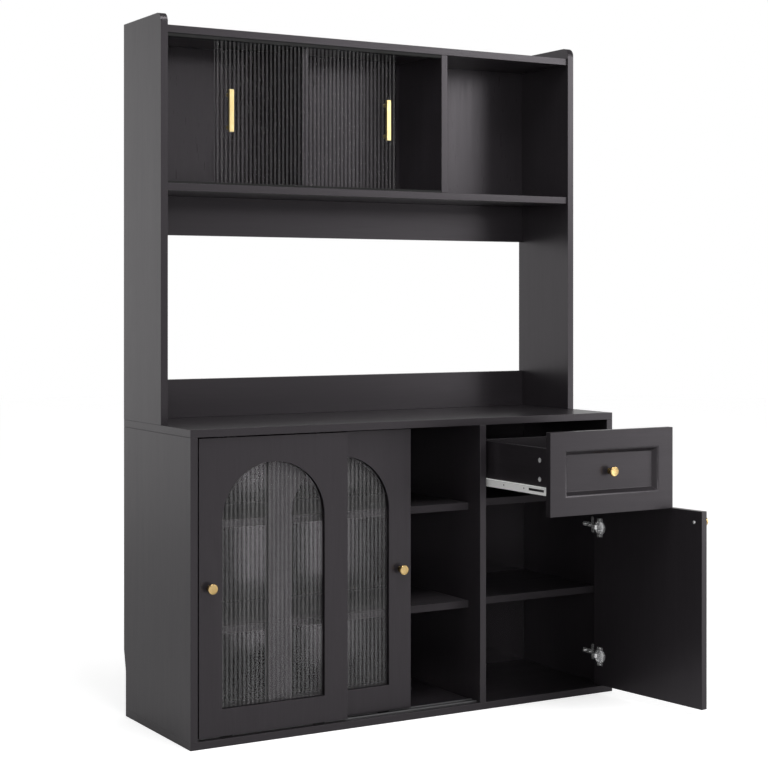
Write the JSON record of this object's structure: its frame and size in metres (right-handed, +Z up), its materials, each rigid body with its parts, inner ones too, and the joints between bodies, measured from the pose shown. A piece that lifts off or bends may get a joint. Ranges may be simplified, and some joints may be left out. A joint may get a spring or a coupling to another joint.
{
  "type": "kitchen hutch",
  "caption": "Tall kitchen hutch with sliding arched fluted-glass doors, a drawer and a hinged door below a worktop, and an open shelf unit with sliding fluted panels above.",
  "frame": {"origin": "centre of the base's footprint on the floor", "axes": "+Z up, -Y out of the front, +X to the right seen from the front"},
  "size_m": [1.2397, 0.7492, 1.7],
  "materials": {
    "black_board": "oak-grain melamine, satin",
    "black_sheet": "thin hardboard, satin",
    "fluted_glass": "clear, fluted on one side",
    "satin_brass": "satin",
    "zinc_steel": "zinc plated",
    "chrome": "bright nickel",
    "white_steel": "white powder coat",
    "black_plastic": "matte",
    "rail_aluminium": "satin"
  },
  "bodies": {
    "cabinet": {"base_bottom_board": "black_board", "base_side_left": "black_board", "base_side_right": "black_board", "base_divider": "black_board", "countertop": "black_board", "base_shelf_left_upper": "black_board", "base_shelf_left_lower": "black_board", "base_shelf_right": "black_board", "under_drawer_board": "black_board", "hutch_side_left": "black_board", "hutch_side_right": "black_board", "hutch_top_board": "black_board", "hutch_shelf": "black_board", "hutch_divider": "black_board", "hutch_inner_divider": "black_board", "hutch_apron_rail": "black_board", "hutch_backsplash_rail": "black_board", "base_back_panel": "black_sheet", "hutch_back_panel": "black_sheet", "hinge_plate_screws": "zinc_steel", "shelf_pins": "zinc_steel", "hinge_arms": "chrome", "hinge_plates": "chrome", "slide_cabinet_channels": "white_steel", "hutch_track_lower": "black_plastic", "hutch_track_upper": "black_plastic", "base_track_rails": "rail_aluminium"},
    "door": {"door_panel": "black_board", "hinge_cups": "chrome", "hinge_cup_screws": "zinc_steel", "door_knob": "satin_brass", "door_knob_screw": "zinc_steel"},
    "slider_left": {"sliding_door_left_frame": "black_board", "sliding_door_left_glass": "fluted_glass", "sliding_door_left_knob": "satin_brass", "sliding_door_left_knob_screw": "zinc_steel", "sliding_door_left_glides": "black_plastic", "sliding_door_left_guides": "black_plastic"},
    "slider_right": {"sliding_door_right_frame": "black_board", "sliding_door_right_glass": "fluted_glass", "sliding_door_right_knob": "satin_brass", "sliding_door_right_knob_screw": "zinc_steel", "sliding_door_right_glides": "black_plastic", "sliding_door_right_guides": "black_plastic"},
    "drawer": {"drawer_front": "black_board", "drawer_side_left": "black_board", "drawer_side_right": "black_board", "drawer_back": "black_board", "drawer_bottom": "black_sheet", "drawer_knob": "satin_brass", "drawer_knob_screw": "zinc_steel", "drawer_cams": "zinc_steel", "slide_drawer_left": "white_steel", "slide_drawer_right": "white_steel"},
    "rollers_front": {"slide_rollers_front": "zinc_steel"},
    "rollers_rear": {"slide_rollers_rear": "zinc_steel"},
    "hutch_panel_left": {"hutch_glass_left": "fluted_glass", "hutch_handle_left": "satin_brass"},
    "hutch_panel_right": {"hutch_glass_right": "fluted_glass", "hutch_handle_right": "satin_brass"}
  },
  "joints": [
    {"name": "base_left_door_slide", "type": "slide", "parent": "cabinet", "child": "slider_left", "axis": [1, 0, 0], "range_m": [0, 0.146]},
    {"name": "base_right_door_slide", "type": "slide", "parent": "cabinet", "child": "slider_right", "axis": [1, 0, 0], "range_m": [-0.146, 0.182]},
    {"name": "hutch_left_glass_slide", "type": "slide", "parent": "cabinet", "child": "hutch_panel_left", "axis": [1, 0, 0], "range_m": [-0.125, 0.058]},
    {"name": "hutch_right_glass_slide", "type": "slide", "parent": "cabinet", "child": "hutch_panel_right", "axis": [1, 0, 0], "range_m": [-0.058, 0.128]},
    {"name": "drawer_slide", "type": "slide", "parent": "cabinet", "child": "drawer", "axis": [0, -1, 0], "range_m": [-0.2685, 0.008]},
    {"name": "front_roller_spin", "type": "hinge", "parent": "cabinet", "child": "rollers_front", "pos_m": [0.393, -0.16, 0.565], "axis": [1, 0, 0], "range_deg": [-1811, 55]},
    {"name": "rear_roller_spin", "type": "hinge", "parent": "drawer", "child": "rollers_rear", "pos_m": [0.393, -0.1335, 0.565], "axis": [1, 0, 0], "range_deg": [-1811, 55]},
    {"name": "door_swing", "type": "hinge", "parent": "cabinet", "child": "door", "pos_m": [0.566, -0.192, 0], "axis": [0, 0, 1], "range_deg": [-97.5, 5]}
  ],
  "couplings": [
    {"joint": "front_roller_spin", "follows": "drawer_slide", "rad_per_m": 117.65},
    {"joint": "rear_roller_spin", "follows": "drawer_slide", "rad_per_m": 117.65}
  ]
}
